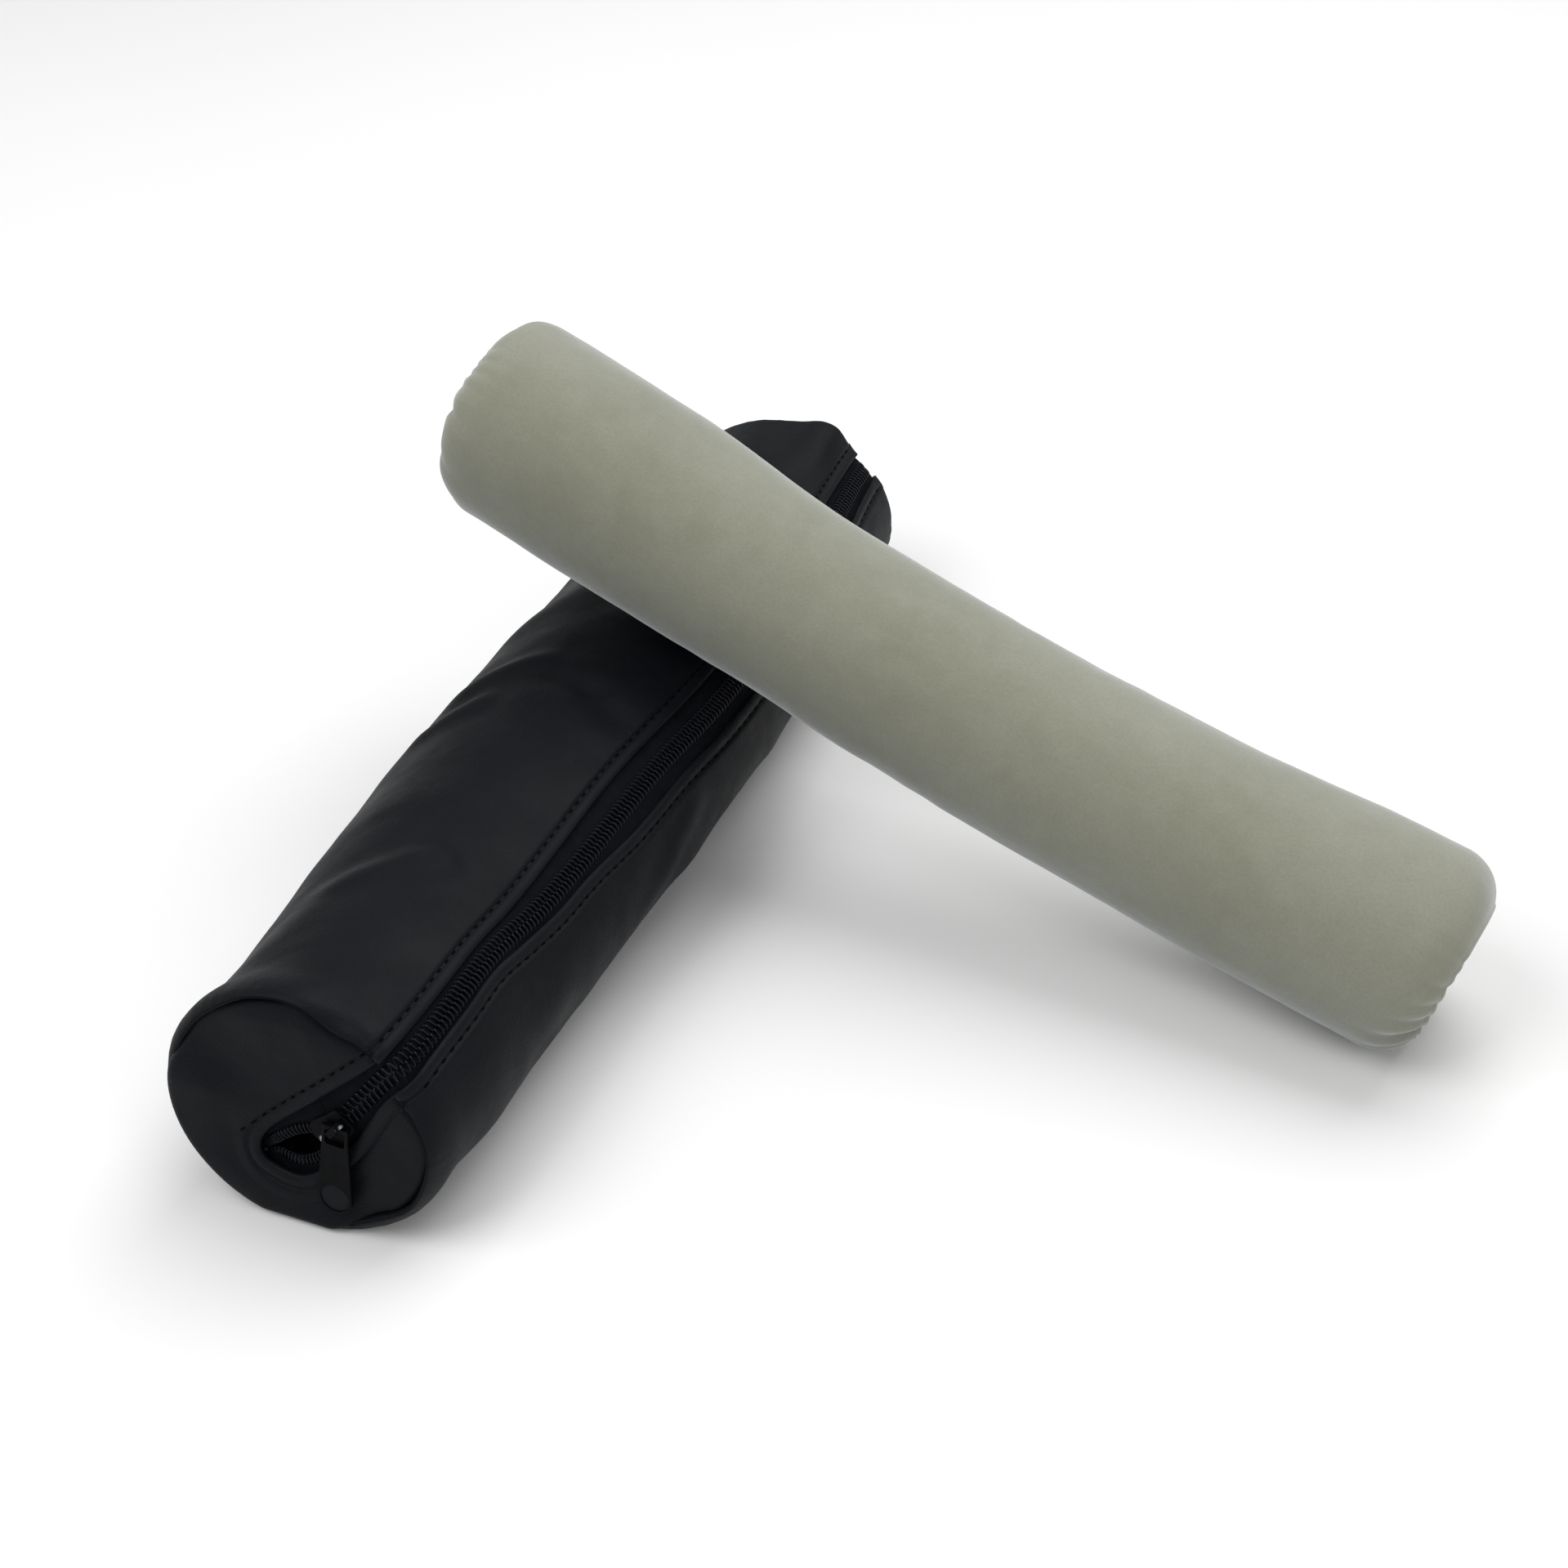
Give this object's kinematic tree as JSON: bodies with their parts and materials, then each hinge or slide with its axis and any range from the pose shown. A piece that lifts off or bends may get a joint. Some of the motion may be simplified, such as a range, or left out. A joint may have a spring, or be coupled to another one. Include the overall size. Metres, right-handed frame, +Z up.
{
  "type": "bracelet storage pouch",
  "caption": "Long round zip pouch of soft leatherette lying on its flattened bottom, with the padded velvet bracelet roll that it stores leaning across it.",
  "frame": {"origin": "middle of the pouch's flattened bottom, on the surface that it lies on", "axes": "+Y along the pouch from the front end panel to the rear one, +X to the right seen from the front, +Z up"},
  "size_m": [0.3065, 0.3251, 0.1375],
  "materials": {
    "leatherette": "soft matt black leatherette with a faint grain",
    "lining_cloth": "thin black lining cloth",
    "binding_tape": "black woven binding tape",
    "zipper_tape": "black woven zipper tape",
    "coil_nylon": "black nylon coil",
    "thread": "black sewing thread",
    "slider_metal": "black enamelled die casting, worn bright on its corners",
    "pull_metal": "black enamelled pull, satin",
    "velvet": "short warm grey velvet",
    "foam": "soft open-cell foam"
  },
  "bodies": {
    "pouch": {"body_panel": "leatherette", "front_end_panel": "leatherette", "rear_end_panel": "leatherette", "body_lining": "lining_cloth", "front_end_lining": "lining_cloth", "rear_end_lining": "lining_cloth", "front_seam_binding": "binding_tape", "rear_seam_binding": "binding_tape", "zipper_tape_left": "zipper_tape", "zipper_tape_right": "zipper_tape", "mouth_tape_left": "zipper_tape", "mouth_tape_right": "zipper_tape", "zipper_coil_left": "coil_nylon", "zipper_coil_right": "coil_nylon", "mouth_coil_left": "coil_nylon", "mouth_coil_right": "coil_nylon", "topstitch_thread": "thread"},
    "slider": {"zipper_slider": "slider_metal"},
    "pull": {"slider_pull": "pull_metal"},
    "roll": {"velvet_sleeve": "velvet", "left_end_disc": "velvet", "right_end_disc": "velvet", "foam_core": "foam"}
  },
  "joints": [
    {"name": "slider_travel", "type": "slide", "parent": "pouch", "child": "slider", "axis": [0.6097, 0.1128, 0.7846], "range_m": [-0.014, 0.015], "deforming": ["mouth_tape_left", "mouth_tape_right", "mouth_coil_left", "mouth_coil_right"]},
    {"name": "pull_swing", "type": "hinge", "parent": "slider", "child": "pull", "pos_m": [0.01316, -0.16279, 0.03301], "axis": [-0.9982, 0.0084, 0.0587], "range_deg": [0, 150]},
    {"name": "roll_lift", "type": "slide", "parent": "pouch", "child": "roll", "axis": [0, 0, 1], "range_m": [0, 0.1]}
  ]
}
